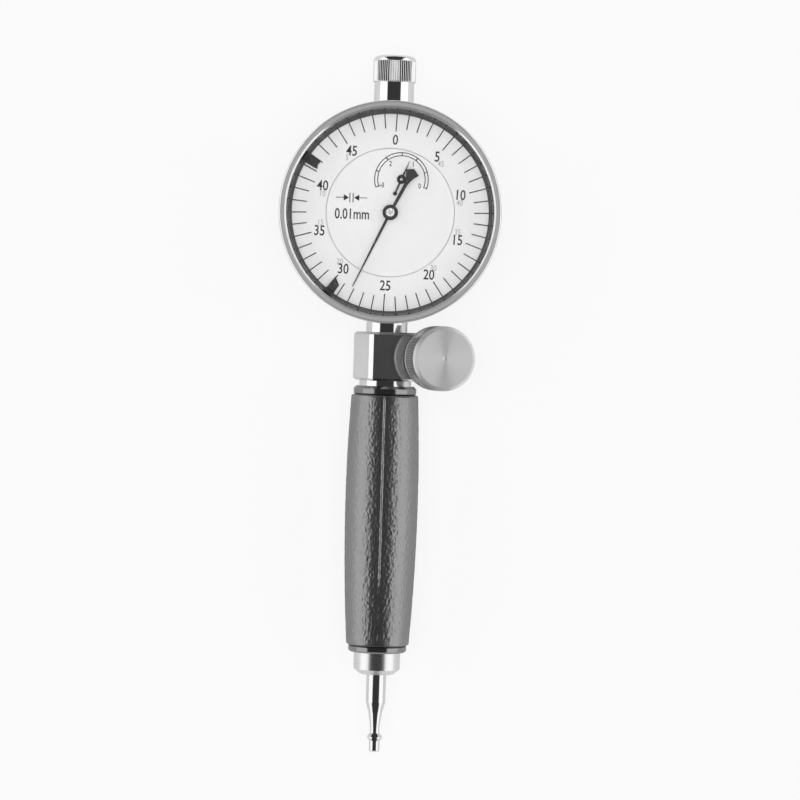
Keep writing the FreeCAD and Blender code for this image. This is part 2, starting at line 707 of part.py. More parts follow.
def make_hairspring():
    """A flat spiral strip from the take-up arbor's collet out to the stud."""
    inner, outer = S.collet_radius.value + 0.05, HAIRSPRING_RADIUS - 0.4
    strip, back, height = 0.1, S.hairspring_back.value, 0.45
    steps = HAIRSPRING_TURNS * 20
    sides = []
    for offset in (0.0, strip):
        side = []
        for i in range(steps + 1):
            angle = 2 * math.pi * HAIRSPRING_TURNS * i / steps
            radius = inner + offset + (outer - inner) * i / steps
            side.append(FreeCAD.Vector(radius * math.cos(angle), radius * math.sin(angle), back))
        sides.append(side)
    outline = sides[0] + sides[1][::-1]
    strip_face = Part.Face(Part.makePolygon(outline + outline[:1]))
    spring = doc.addObject("Part::Feature", "hairspring")
    spring.Shape = strip_face.extrude(FreeCAD.Vector(0, 0, height))
    spring.Label = "hairspring"
    spring.Placement = placed(*TAKE_UP_ARBOR)
    PARTS.append(spring)


def make_return_spring():
    """An extension spring beside the spindle, with a flat eye on the spring pin and the spring post."""
    wire, radius, eye = 0.3, 0.75, 0.8
    reach = S.spring_reach.value
    length = 2 * (reach - eye + wire / 2)
    helix = Part.makeHelix(length / SPRING_COILS, length, radius)
    corners = [FreeCAD.Vector(radius + across, 0, up) for across, up in (
        (-wire / 2, -wire / 2), (wire / 2, -wire / 2), (wire / 2, wire / 2), (-wire / 2, wire / 2))]
    section = Part.makePolygon(corners + corners[:1])
    coil = Part.Wire(helix).makePipeShell([section], True, True)
    coil.translate(FreeCAD.Vector(0, 0, -length / 2))
    eyes = []
    for height, axis in ((reach, FreeCAD.Vector(1, 0, 0)), (-reach, FreeCAD.Vector(0, 1, 0))):
        start = FreeCAD.Vector(0, 0, height).sub(axis * (wire / 2))
        ring = Part.makeCylinder(eye + wire / 2, wire, start, axis)
        eyes.append(ring.cut(Part.makeCylinder(eye - wire, wire, start, axis)))
    spring = doc.addObject("Part::Feature", "return_spring")
    spring.Shape = coil.fuse(eyes)
    spring.Label = "return_spring"
    spring.Placement = placed(-S.spring_across, 0, 0, (1, 0, 0), -90)
    PARTS.append(spring)


def make_spindle():
    rod, gap = S.spindle_radius, S.running_gap
    spindle = turned_on_stem("spindle", [
        (0, -S.spindle_end + 3), (S.point_thread, -S.spindle_end + 3), (S.point_thread, -S.spindle_end),
        (rod, -S.spindle_end), (rod, S.spindle_shoulder), (S.thread_radius, S.spindle_shoulder),
        (S.thread_radius, S.spindle_top), (0, S.spindle_top)])
    # The rack: a flat milled on the left side, then tooth spaces a pitch apart.
    first = -S.arbor_up - S.rack_pitch * (RACK_TEETH // 2)
    length = S.rack_pitch * (RACK_TEETH - 1)
    tips, roots = -(S.rack_line + S.rack_rise), -(S.rack_line - S.rack_fall)
    flat = draw(new_sketch(spindle, "XY_Plane"), [
        (-rod - 0.2, first - 0.6), (tips, first - 0.6), (tips, first + length + 0.6),
        (-rod - 0.2, first + length + 0.6)])
    feature(spindle, "Pocket", flat, rod * 2, both_sides=True)
    space = draw(new_sketch(spindle, "XY_Plane"), [
        (roots, first - S.rack_pitch * 0.22), (roots, first + S.rack_pitch * 0.22),
        (tips - 0.1, first + S.rack_pitch * 0.44), (tips - 0.1, first - S.rack_pitch * 0.44)])
    cut = feature(spindle, "Pocket", space, rod * 2, both_sides=True)
    rack = spindle.newObject("PartDesign::LinearPattern", "spindle_rack")
    rack.Originals = [cut]
    rack.Direction = (space, ["V_Axis"])
    rack.setExpression("Length", length.text)
    rack.Occurrences = RACK_TEETH
    spindle.Tip = rack
    drill(spindle, "XY_Plane", [(0, S.guide_pin_up, S.pivot_radius)], -1, 3)
    drill(spindle, "YZ_Plane", [(S.spring_reach, 0, S.pivot_radius)], -1, 2, upwards=False)
    turned_on_dial("guide_pin", [
        (0, -1), (S.pivot_radius, -1), (S.pivot_radius, S.mid_plate_front - 0.1),
        (0, S.mid_plate_front - 0.1)], placed(0, S.guide_pin_up, 0))
    pin, waist, end = S.pivot_radius, S.pivot_radius - 0.05, S.spring_across + 0.6
    turned_on_dial("spring_pin", [
        (0, 1), (pin, 1), (pin, S.spring_across - 0.4), (waist, S.spring_across - 0.4), (waist, end),
        (0, end)], placed(0, S.spring_reach, 0, (0, 1, 0), -90))
    turned_group("spring_post", [
        (0, -0.6), (waist, -0.6), (waist, S.mid_plate_back), (0, S.mid_plate_back)],
        [(-S.spring_across, -S.spring_reach)])
    turned_on_stem("contact_point", [
        (0, -S.point_end), (0.5, -S.point_end), (1.2, -S.point_end + 0.7), (1.2, -S.spindle_end),
        (S.point_thread, -S.spindle_end), (S.point_thread, -S.spindle_end + 2.9),
        (0, -S.spindle_end + 2.9)])
    turned_on_stem("stem_bush", [
        (rod + gap, -S.stem_end), (S.bush_radius, -S.stem_end), (S.bush_radius, -S.stem_end + 5),
        (rod + gap, -S.stem_end + 5)])
    turned_on_stem("upper_bush", [
        (rod + gap, 16.9), (3.2, 16.9), (3.2, 17.4), (S.bush_radius, 17.4),
        (S.bush_radius, S.upper_bush_top - S.edge), (S.bush_radius - S.edge, S.upper_bush_top),
        (rod + gap, S.upper_bush_top)])


def make_lift_cap():
    shoulder = S.cap_top - S.cap_round
    cap = turned_on_stem("lift_cap", [
        (S.thread_radius, S.spindle_shoulder), (S.cap_bore, S.spindle_shoulder), (S.cap_bore, S.cap_bottom),
        (S.cap_skirt, S.cap_bottom), (S.cap_skirt, S.cap_knurl_bottom),
        (S.cap_radius, S.cap_knurl_bottom), (S.cap_radius, shoulder),
        (S.cap_radius - S.cap_round * 0.3, S.cap_top - S.cap_round * 0.3),
        (S.cap_radius - S.cap_round, S.cap_top), (0, S.cap_top),
        (0, S.spindle_top), (S.thread_radius, S.spindle_top)])
    sketch = new_sketch(cap, "XZ_Plane", -S.cap_knurl_bottom)
    reach = S.cap_radius + 0.05
    half = S.cap_radius * (math.pi / CAP_FLUTES * 0.62)
    draw(sketch, [(S.cap_radius - S.cap_flute, 0), (reach, -half), (reach, half)])
    cut = feature(cap, "Pocket", sketch, shoulder - S.cap_knurl_bottom)
    repeat_round(cap, cut, sketch, CAP_FLUTES)


def make_stem():
    turned_on_stem("stem", [
        (S.bush_radius, -S.stem_inner_end), (S.stem_radius, -S.stem_inner_end),
        (S.stem_radius, -S.stem_end + S.edge), (S.stem_radius - S.edge, -S.stem_end),
        (S.bush_radius, -S.stem_end)])


def make_clamp():
    left, right, deep = -S.block_left, S.block_right, S.block_half_depth
    front_edge, rear_edge = S.block_front_edge, S.block_rear_edge
    block = new_body("clamp_block", CLAMP)
    # On the XZ plane, the sketch's Y is towards the dial's face and its normal points down the stem.
    plan = draw(new_sketch(block, "XZ_Plane", S.block_top), [
        (left, -deep), (right - rear_edge, -deep), (right, -deep + rear_edge), (right, deep - rear_edge),
        (right - rear_edge, deep), (left + front_edge, deep), (left, deep - front_edge)])
    pad = feature(block, "Pad", plan, S.block_bottom - S.block_top)
    doc.recompute()
    rims = [f"Edge{i}" for i, edge in enumerate(pad.Shape.Edges, start=1)
            if edge.BoundBox.YLength < 0.01]
    chamfer = block.newObject("PartDesign::Chamfer", "clamp_block_edges")
    chamfer.Base = (pad, rims)
    chamfer.setExpression("Size", S.block_edge.text)
    block.Tip = chamfer
    neck = draw_circles(new_sketch(block, "XZ_Plane", S.block_bottom), [(0, 0, S.neck_radius)])
    feature(block, "Pad", neck, S.neck_end - S.block_bottom)
    drill(block, "XZ_Plane", [(0, 0, S.stem_radius)], S.block_top, S.neck_end - S.block_top)
    half = S.split_width / 2
    split = draw(new_sketch(block, "XZ_Plane", S.block_top), [
        (0, -half), (right + 1, -half), (right + 1, half), (0, half)])
    feature(block, "Pocket", split, S.block_bottom - S.block_top, reversed_side=True)
    hole = (S.clamp_across, -S.clamp_drop)
    drill(block, "XY_Plane", [(*hole, S.clamp_screw_radius + 0.1)], 0, deep)
    drill(block, "XY_Plane", [(*hole, S.clamp_screw_radius + S.running_gap)], 0, deep, upwards=False)

    on_axis = CLAMP * FreeCAD.Placement(
        FreeCAD.Vector(float(S.clamp_across), -float(S.clamp_drop), 0), FreeCAD.Rotation())
    screw, screw_end = S.clamp_screw_radius, S.knob_front - S.knob_screw_depth
    turned_on_dial("clamp_screw", [
        (0, -S.clamp_screw_back), (screw - S.edge, -S.clamp_screw_back),
        (screw, -S.clamp_screw_back + S.edge), (screw, screw_end), (0, screw_end)], on_axis)
    rim, front = S.knob_radius, S.knob_front
    rim_front = front - S.knob_bevel
    knob = turned_on_dial("clamp_knob", [
        (screw, deep + 0.05), (S.knob_boss, deep + 0.05), (S.knob_boss, S.knob_back),
        (rim, S.knob_back), (rim, rim_front), (S.knob_face, front), (S.knob_dimple, front),
        (0, front - S.knob_dimple / 2), (0, screw_end), (screw, screw_end)], on_axis)
    sketch = new_sketch(knob, "XY_Plane", S.knob_back)
    reach = rim + 0.05
    half = rim * (math.pi / KNOB_FLUTES * 0.62)
    draw(sketch, [(rim - S.knob_flute, 0), (reach, -half), (reach, half)])
    cut = feature(knob, "Pocket", sketch, rim_front - S.knob_back, reversed_side=True)
    repeat_round(knob, cut, sketch, KNOB_FLUTES)


def make_handle():
    neck, gap = S.neck_radius, S.running_gap
    turned_on_stem("handle_tube", [
        (S.tube_bore, -S.tube_top), (S.stem_radius, -S.tube_top), (S.stem_radius, -S.neck_end),
        (neck, -S.neck_end), (neck, -S.handle_end), (S.ferrule_thread, -S.handle_end),
        (S.ferrule_thread, -S.ferrule_thread_top + 0.5), (S.tube_bore, -S.ferrule_thread_top + 0.5)])
    turned_on_stem("upper_collar", [
        (neck, -S.collar_top), (S.collar_radius - 0.5, -S.collar_top),
        (S.collar_radius, -S.collar_top - 0.5), (S.collar_radius, -S.grip_top + 0.3),
        (S.collar_radius - 0.3, -S.grip_top), (neck, -S.grip_top)])
    # The grip swells as a parabola from each end to its widest place, in straight bands.
    rise, fall = S.grip_radius - S.grip_top_radius, S.grip_radius - S.grip_bottom_radius
    upper, lower = S.grip_widest - S.grip_top, S.grip_bottom - S.grip_widest
    swell = [(neck, -S.grip_top), (S.grip_top_radius - S.edge, -S.grip_top)]
    for i in range(GRIP_BANDS):
        share = 1 - i / GRIP_BANDS
        swell.append((S.grip_radius - rise * share ** 2, -S.grip_widest + (upper - S.edge) * share))
    for i in range(GRIP_BANDS + 1):
        share = i / GRIP_BANDS
        swell.append((S.grip_radius - fall * share ** 2, -S.grip_widest - (lower - S.edge) * share))
    swell += [(S.grip_bottom_radius - S.edge, -S.grip_bottom), (neck, -S.grip_bottom)]
    turned_on_stem("grip", swell)
    lower = S.lower_collar_radius
    turned_on_stem("lower_collar", [
        (neck, -S.grip_bottom), (lower - 0.3, -S.grip_bottom), (lower, -S.grip_bottom - 0.3),
        (lower, -S.handle_end + 0.3), (lower - 0.3, -S.handle_end), (neck, -S.handle_end)])
    turned_on_stem("ferrule", [
        (S.probe_thread, -S.ferrule_thread_top), (S.ferrule_thread, -S.ferrule_thread_top),
        (S.ferrule_thread, -S.handle_end), (S.ferrule_radius, -S.handle_end),
        (S.ferrule_radius, -S.ferrule_end + S.ferrule_chamfer), (S.ferrule_nose, -S.ferrule_end),
        (S.probe_thread, -S.ferrule_end)])
    rod = S.rod_radius
    for label, top in (("upper_rod_guide", 42.0), ("lower_rod_guide", 74.0)):
        turned_on_stem(label, [(rod + gap, -top - 4), (S.tube_bore, -top - 4), (S.tube_bore, -top),
                               (rod + gap, -top)])
    turned_on_stem("push_rod", [
        (0, -S.needle_top), (rod, -S.needle_top), (rod, -S.point_end - 2), (S.rod_head, -S.point_end - 2),
        (S.rod_head, -S.point_end), (0, -S.point_end)])


def make_probe():
    probe = turned_on_stem("probe", [
        (S.probe_counterbore, -S.probe_top), (S.probe_counterbore, -S.probe_top - 2.2),
        (S.probe_bore, -S.probe_top - 2.8), (S.probe_bore, -S.needle_cone - 0.1), (0, -S.needle_tip - 0.2),
        (0, -S.probe_end), (S.pilot_radius - 0.2, -S.probe_end), (S.pilot_radius, -S.probe_end + 0.2),
        (S.pilot_radius, -S.ball_bottom), (S.ball_radius, -S.ball_middle - 0.15),
        (S.ball_radius, -S.ball_middle + 0.15), (S.probe_neck_radius, -S.ball_top),
        (S.probe_neck_radius, -S.probe_neck), (S.probe_waist_radius, -S.probe_waist),
        (S.probe_radius, -S.probe_straight), (S.probe_radius, -S.ferrule_end),
        (S.probe_thread, -S.ferrule_end), (S.probe_thread, -S.probe_top)])
    half = S.probe_slot / 2
    slot = draw(new_sketch(probe, "YZ_Plane"), [
        (-S.probe_end - 1, -half), (-S.probe_slot_top, -half), (-S.probe_slot_top, half),
        (-S.probe_end - 1, half)])
    feature(probe, "Pocket", slot, S.probe_radius * 3, both_sides=True)
    turned_on_stem("needle", [
        (0, -S.needle_tip), (S.needle_radius, -S.needle_cone), (S.needle_radius, -S.needle_top - 2.5),
        (S.needle_head, -S.needle_top - 2.5), (S.needle_head, -S.needle_top), (0, -S.needle_top)])


make_case()
make_back_cover()
make_bezel()
make_crystal_and_dial()
make_markers()
make_hands()
make_plates()
make_gear_train()
make_hairspring()
make_spindle()
make_return_spring()
make_lift_cap()
make_stem()
make_clamp()
make_handle()
make_probe()
doc.recompute()

faults = [f"{item.Label}: {item.State}" for item in doc.Objects
          if "Invalid" in item.State or "Error" in item.State]
for part in PARTS:
    if part.Shape.isNull() or not part.Shape.isValid():
        faults.append(f"{part.Label}: shape is not valid")
if faults:
    raise RuntimeError("; ".join(faults))

os.makedirs("parts", exist_ok=True)
for part in PARTS:
    part.Shape.exportStep(f"parts/{part.Label}.step")
    print(f"{part.Label:20s} {part.Shape.Volume:10.3f} mm3, {len(part.Shape.Solids)} solid(s)")
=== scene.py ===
import json
import math

import bmesh
import bpy
from mathutils import Matrix, Vector, noise


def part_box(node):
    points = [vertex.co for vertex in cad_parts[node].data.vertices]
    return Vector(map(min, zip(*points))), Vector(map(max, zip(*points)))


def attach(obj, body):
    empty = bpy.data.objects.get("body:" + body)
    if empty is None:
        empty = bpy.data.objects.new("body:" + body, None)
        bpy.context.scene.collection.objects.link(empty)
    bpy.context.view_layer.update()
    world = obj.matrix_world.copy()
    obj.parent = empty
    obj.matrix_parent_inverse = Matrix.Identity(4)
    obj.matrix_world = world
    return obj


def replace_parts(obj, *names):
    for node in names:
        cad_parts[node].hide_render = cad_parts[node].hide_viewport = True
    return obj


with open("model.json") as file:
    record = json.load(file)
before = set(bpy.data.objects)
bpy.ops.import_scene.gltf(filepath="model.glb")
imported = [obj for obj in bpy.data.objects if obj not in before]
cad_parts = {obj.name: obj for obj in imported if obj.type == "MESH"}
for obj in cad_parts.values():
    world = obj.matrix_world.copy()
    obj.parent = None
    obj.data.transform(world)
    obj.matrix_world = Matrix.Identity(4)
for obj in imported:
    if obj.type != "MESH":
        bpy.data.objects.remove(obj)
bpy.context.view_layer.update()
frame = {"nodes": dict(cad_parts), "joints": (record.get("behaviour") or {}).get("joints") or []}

# THE TABLE AND THE STUDIO
# The gauge lies on its back on a plain white table, under a soft top light, between two long white
# softboxes. The strip between them stays dark, which draws the dark line down polished metal.
mm = 0.001
bezel_low, bezel_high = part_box("bezel")
stem_low, stem_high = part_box("stem")
dial_centre = Vector((
    (bezel_low.x + bezel_high.x) / 2, (bezel_low.y + bezel_high.y) / 2, (stem_low.z + stem_high.z) / 2))
studio = bpy.context.scene
studio.view_settings.view_transform = "Standard"


def add_node(tree, kind, inputs=None, **settings):
    """A shader node with its settings, and its inputs set to values or linked to other outputs."""
    made = tree.nodes.new(kind)
    for name, value in settings.items():
        setattr(made, name, value)
    for name, value in (inputs or {}).items():
        if isinstance(value, bpy.types.NodeSocket):
            tree.links.new(value, made.inputs[name])
        else:
            made.inputs[name].default_value = value
    return made


def math_node(tree, operation, first, second=0.0):
    return add_node(tree, "ShaderNodeMath", {0: first, 1: second}, operation=operation).outputs[0]


def new_finish(name):
    """A new material, with its node tree and its main shader."""
    finish = bpy.data.materials.new(name)
    finish.use_nodes = True
    return finish, finish.node_tree, finish.node_tree.nodes["Principled BSDF"]


strip_half_angle = math.radians(40)
strip_blur = math.radians(3)
strip_light = 0.04
softbox_light = 1.25
world = bpy.data.worlds.new("studio")
studio.world = world
world.use_nodes = True
air = world.node_tree
compass = add_node(air, "ShaderNodeSeparateXYZ", {
    0: add_node(air, "ShaderNodeTexCoord").outputs["Generated"]})
softboxes = add_node(air, "ShaderNodeMapRange", {
    "Value": math_node(air, "ABSOLUTE", compass.outputs["X"]),
    "From Min": math.sin(strip_half_angle - strip_blur), "From Max": math.sin(strip_half_angle + strip_blur),
    "To Min": strip_light, "To Max": softbox_light}, interpolation_type="SMOOTHSTEP")
ray = add_node(air, "ShaderNodeLightPath")
seen_plain = math_node(air, "MAXIMUM", ray.outputs["Is Camera Ray"], ray.outputs["Is Transmission Ray"])
air.links.new(math_node(air, "MAXIMUM", softboxes.outputs["Result"], seen_plain),
              air.nodes["Background"].inputs["Strength"])
air.nodes["Background"].inputs["Color"].default_value = (1, 1, 1, 1)

top_light = bpy.data.objects.new("top_light", bpy.data.lights.new("top_light", "AREA"))
top_light.data.energy = 8.0
top_light.data.size = 0.9
top_light.location = (0.0, 0.0, 1.1)
top_light.visible_camera = False
top_light.visible_glossy = False
studio.collection.objects.link(top_light)

table = bpy.data.meshes.new("table")
table_half = 3.0
table.from_pydata([(-table_half, -table_half, 0), (table_half, -table_half, 0),
                   (table_half, table_half, 0), (-table_half, table_half, 0)], [], [(0, 1, 2, 3)])
table_top = bpy.data.objects.new("table_top", table)
studio.collection.objects.link(table_top)
table_white, top, table_shader = new_finish("table_white")
table_grain = add_node(top, "ShaderNodeTexNoise", {"Scale": 900.0, "Detail": 3.0})
table_tone = add_node(top, "ShaderNodeMapRange", {
    "Value": table_grain.outputs[0], "To Min": 0.86, "To Max": 0.9})
top.links.new(table_tone.outputs[0], table_shader.inputs["Base Color"])
table_shader.inputs["Roughness"].default_value = 0.9
glow = add_node(top, "ShaderNodeEmission", {"Color": (1, 1, 1, 1), "Strength": 1.0})
seen = add_node(top, "ShaderNodeLightPath")
glow_share = 0.85
share = math_node(top, "MULTIPLY", seen.outputs["Is Camera Ray"], glow_share)
table_look = add_node(top, "ShaderNodeMixShader", {
    0: share, 1: table_shader.outputs[0], 2: glow.outputs[0]})
top.links.new(table_look.outputs[0], top.nodes["Material Output"].inputs["Surface"])
table.materials.append(table_white)

# The camera looks almost straight down, with the gauge leaning a little to the right.
lean = math.radians(1.75)
to_right = Vector((math.cos(lean), math.sin(lean), 0))
upwards = Vector((-math.sin(lean), math.cos(lean), 0))
camera_height = 0.65
camera_above_aim = 0.0147
field_width = 0.1569
sensor_width = 36.0
aim_below_dial, aim_to_right = 0.0365, 0.003
aim = dial_centre + Vector((0, -aim_below_dial, 0)) + to_right * aim_to_right
eye = aim + upwards * camera_above_aim + Vector((0, 0, camera_height))
camera = bpy.data.objects.new("camera", bpy.data.cameras.new("camera"))
camera.data.sensor_width = sensor_width
camera.data.lens = sensor_width * (aim - eye).length / field_width
camera.data.clip_start = 0.05
backwards = (eye - aim).normalized()
sideways = upwards.cross(backwards).normalized()
camera.matrix_world = Matrix.Translation(eye) @ Matrix(
    (sideways, backwards.cross(sideways), backwards)).transposed().to_4x4()
studio.collection.objects.link(camera)
studio.camera = camera

# THE CASE AND ITS BACK COVER
# A turned steel cup, plated and satin, closed behind by a flat cover that four screws hold. Both
# are lathe work, so their finish is fine lines round the dial's axis.
dial_place = Matrix.Translation(dial_centre)
stem_place = dial_place @ Matrix.Rotation(math.radians(-90), 4, "X")


def lathe_finish(name, grey, roughness, place=None, line_depth=0.006, metallic=1.0, tint=(1, 1, 1),
                 painted_shade_radii=None):
    """Plated or bare metal with lathe lines. place is the turning axis, or None for the piece's own.
    The radii argument gives, in millimetres, where painted shade in a knurl's grooves fades: the base colour
    is darkened at the grooves' floor, where shade falls, and turns to bright metal further out."""
    finish, tree, shader = new_finish(name)
    point = add_node(tree, "ShaderNodeTexCoord").outputs["Object"]
    if place is not None:
        point = add_node(tree, "ShaderNodeMapping", {
            "Vector": point, "Location": place.to_translation(), "Rotation": place.to_euler()},
            vector_type="TEXTURE").outputs[0]
    parts = add_node(tree, "ShaderNodeSeparateXYZ", {0: point})
    flat = add_node(tree, "ShaderNodeCombineXYZ", {"X": parts.outputs["X"], "Y": parts.outputs["Y"]})
    radius = add_node(tree, "ShaderNodeVectorMath", {0: flat.outputs[0]}, operation="LENGTH")
    lines = add_node(tree, "ShaderNodeCombineXYZ", {"X": radius.outputs["Value"], "Y": parts.outputs["Z"]})
    turning = add_node(tree, "ShaderNodeTexNoise", {
        "Vector": lines.outputs[0], "Scale": 9000.0, "Detail": 4.0, "Roughness": 0.6})
    cloud = add_node(tree, "ShaderNodeTexNoise", {"Vector": point, "Scale": 350.0, "Detail": 3.0})
    tone = add_node(tree, "ShaderNodeMapRange", {
        "Value": cloud.outputs[0], "To Min": grey * 0.97, "To Max": min(grey * 1.03, 1.0)})
    if painted_shade_radii:
        # Painted shade: towards the floor of the grooves the base colour drops to a small share of its grey,
        # as if shade fell there.
        painted_shade_share = 0.08
        painted_groove_shade = add_node(tree, "ShaderNodeMapRange", {
            "Value": radius.outputs["Value"], "From Min": painted_shade_radii[0] * mm, "From Max": painted_shade_radii[1] * mm,
            "To Min": grey * painted_shade_share, "To Max": grey})
        tone = add_node(tree, "ShaderNodeMath", {
            0: tone.outputs[0], 1: painted_groove_shade.outputs[0]}, operation="MINIMUM")
    colour = add_node(tree, "ShaderNodeVectorMath", {0: tone.outputs[0], 1: tint}, operation="MULTIPLY")
    gloss = add_node(tree, "ShaderNodeMapRange", {
        "Value": turning.outputs[0], "To Min": roughness * 0.8, "To Max": roughness * 1.2})
    relief = add_node(tree, "ShaderNodeBump", {
        "Height": turning.outputs[0], "Strength": 1.0, "Distance": line_depth * mm})
    tree.links.new(colour.outputs[0], shader.inputs["Base Color"])
    tree.links.new(gloss.outputs[0], shader.inputs["Roughness"])
    tree.links.new(relief.outputs[0], shader.inputs["Normal"])
    shader.inputs["Metallic"].default_value = metallic
    return finish


def dress(finish, *nodes):
    """Gives the frame's own pieces a finish."""
    for node in nodes:
        mesh = frame["nodes"][node].data
        mesh.materials.clear()
        mesh.materials.append(finish)


case_satin = lathe_finish("case_satin", 0.62, 0.32, dial_place)
dress(case_satin, "case", "back_cover")
dress(lathe_finish("screw_steel", 0.5, 0.3, dial_place), "back_cover_screws", "plate_screws")

# THE MOVEMENT
# A nickel-plated front plate, brass plates and wheels, and steel arbors, rack and springs. All of it
# stands in the dark case behind the dial, held by the pillars and the plate screws.
dress(lathe_finish("plate_nickel", 0.7, 0.35, dial_place, metallic=0.6), "front_plate")
movement_brass = lathe_finish("movement_brass", 0.75, 0.3, dial_place, tint=(1.0, 0.78, 0.42))
inner_steel = lathe_finish("inner_steel", 0.6, 0.28, dial_place)
brass_nodes = {"mid_plate", "drive_gear", "take_up_gear", "rear_bridge", "bridge_posts", "plate_pillars",
               "hairspring_stud", "spring_post", "stem_bush", "upper_bush", "upper_rod_guide",
               "lower_rod_guide"}
shown_nodes = {"case", "back_cover", "back_cover_screws", "plate_screws", "bezel", "crystal", "marker_ring",
               "dial_ring", "centre_dial", "upper_marker", "lower_marker", "main_hand", "counter_hand",
               "hand_bush", "counter_hand_bush", "front_plate",
               "lift_cap", "stem", "clamp_block", "clamp_screw", "clamp_knob", "upper_collar", "grip",
               "lower_collar", "ferrule", "probe"}
for node in frame["nodes"]:
    if node in brass_nodes:
        dress(movement_brass, node)
    elif node not in shown_nodes:
        dress(inner_steel, node)

# THE DIAL
# Two thin plates painted white: an outer ring that turns with the bezel and an inner disc that is
# fixed to the movement. The scales and figures are printed on them in black and grey.
dial_white, paint, paint_shader = new_finish("dial_white")
paint_cloud = add_node(paint, "ShaderNodeTexNoise", {"Scale": 2500.0, "Detail": 2.0})
paint_tone = add_node(paint, "ShaderNodeMapRange", {
    "Value": paint_cloud.outputs[0], "To Min": 0.87, "To Max": 0.9})
paint_skin = add_node(paint, "ShaderNodeBump", {
    "Height": paint_cloud.outputs[0], "Strength": 0.2, "Distance": 0.004 * mm})
paint.links.new(paint_tone.outputs[0], paint_shader.inputs["Base Color"])
paint.links.new(paint_skin.outputs[0], paint_shader.inputs["Normal"])
paint_shader.inputs["Roughness"].default_value = 0.5
dress(dial_white, "dial_ring", "centre_dial")


def ink(name, grey):
    """Printing ink or matt paint, with the faint speckle of a screen print."""
    finish, tree, shader = new_finish(name)
    speckle = add_node(tree, "ShaderNodeTexNoise", {"Scale": 6000.0, "Detail": 2.0})
    tone = add_node(tree, "ShaderNodeMapRange", {
        "Value": speckle.outputs[0], "To Min": grey * 0.85, "To Max": grey * 1.15})
    tree.links.new(tone.outputs[0], shader.inputs["Base Color"])
    shader.inputs["Roughness"].default_value = 0.55
    return finish


black_ink = ink("black_ink", 0.02)
grey_ink = ink("grey_ink", 0.5)
film = 0.012


def turned_about(degrees):
    """Clockwise from the top of the dial, seen from in front."""
    return Matrix.Rotation(math.radians(-degrees), 4, "Z")


def add_bar(print_shape, left, right, bottom, top_edge, place, colour=0):
    """A printed bar with its corners square, in millimetres on the dial."""
    low = [print_shape.verts.new(place @ Vector((x, y, 0)))
           for x, y in ((left, bottom), (right, bottom), (right, top_edge), (left, top_edge))]
    high = [print_shape.verts.new(vert.co + Vector((0, 0, film))) for vert in low]
    faces = [print_shape.faces.new(high), print_shape.faces.new(low[::-1])]
    for i in range(4):
        faces.append(print_shape.faces.new((low[i], low[(i + 1) % 4], high[(i + 1) % 4], high[i])))
    for face in faces:
        face.material_index = colour


def add_arc(print_shape, inner, outer, start, end, place, colour=0, steps=48):
    """A printed arc between two bearings."""
    rows = []
    for step in range(steps + 1):
        out = turned_about(start + (end - start) * step / steps) @ Vector((0, 1, 0))
        rows.append([print_shape.verts.new(place @ (out * radius + Vector((0, 0, rise))))
                     for radius, rise in ((inner, 0), (outer, 0), (outer, film), (inner, film))])
    for first, second in zip(rows, rows[1:]):
        for i in range(4):
            face = print_shape.faces.new((first[i], second[i], second[(i + 1) % 4], first[(i + 1) % 4]))
            face.material_index = colour
    for cap in (rows[0], rows[-1]):
        print_shape.faces.new(cap).material_index = colour


def add_arrowhead(print_shape, point, base, half, place):
    """A printed arrowhead whose point and base lie on one level line."""
    spots = ((point, 0, 0), (base, -half, 0), (base, half, 0))
    low = [print_shape.verts.new(place @ Vector(spot)) for spot in spots]
    high = [print_shape.verts.new(vert.co + Vector((0, 0, film))) for vert in low]
    print_shape.faces.new(high)
    print_shape.faces.new(low[::-1])
    for i in range(3):
        print_shape.faces.new((low[i], low[(i + 1) % 3], high[(i + 1) % 3], high[i]))


def add_figure(print_shape, text, height, place, colour=0, narrow=0.8, weight=0.012):
    """Printed figures, centred on their place, as tall as height."""
    curve = bpy.data.curves.new("figure", "FONT")
    curve.body = text
    curve.resolution_u = 3
    curve.offset = weight
    curve.extrude = film / height / 2
    holder = bpy.data.objects.new("figure", curve)
    letters = bpy.data.meshes.new_from_object(holder)
    xs = [vert.co.x for vert in letters.vertices]
    ys = [vert.co.y for vert in letters.vertices]
    tall = max(ys) - min(ys)
    middle = Vector(((max(xs) + min(xs)) / 2, (max(ys) + min(ys)) / 2, 0))
    scale = height / tall
    letters.transform(place @ Matrix.Diagonal((scale * narrow, scale, height, 1))
                      @ Matrix.Translation(-middle + Vector((0, 0, film / height / 2))))
    first = len(print_shape.faces)
    print_shape.from_mesh(letters)
    print_shape.faces.ensure_lookup_table()
    for face in print_shape.faces[first:]:
        face.material_index = colour
    bpy.data.meshes.remove(letters)
    bpy.data.objects.remove(holder)
    bpy.data.curves.remove(curve)


def finish_print(name, print_shape, plate_node, body):
    """The print as one piece on its plate."""
    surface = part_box(plate_node)[1].z - dial_centre.z
    bmesh.ops.recalc_face_normals(print_shape, faces=print_shape.faces)
    mesh = bpy.data.meshes.new(name)
    print_shape.to_mesh(mesh)
    print_shape.free()
    mesh.transform(Matrix.Translation((0, 0, surface)) @ Matrix.Scale(mm, 4))
    mesh.materials.append(black_ink)
    mesh.materials.append(grey_ink)
    piece = bpy.data.objects.new(name, mesh)
    studio.collection.objects.link(piece)
    piece.matrix_world = dial_place
    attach(piece, body)
    return piece


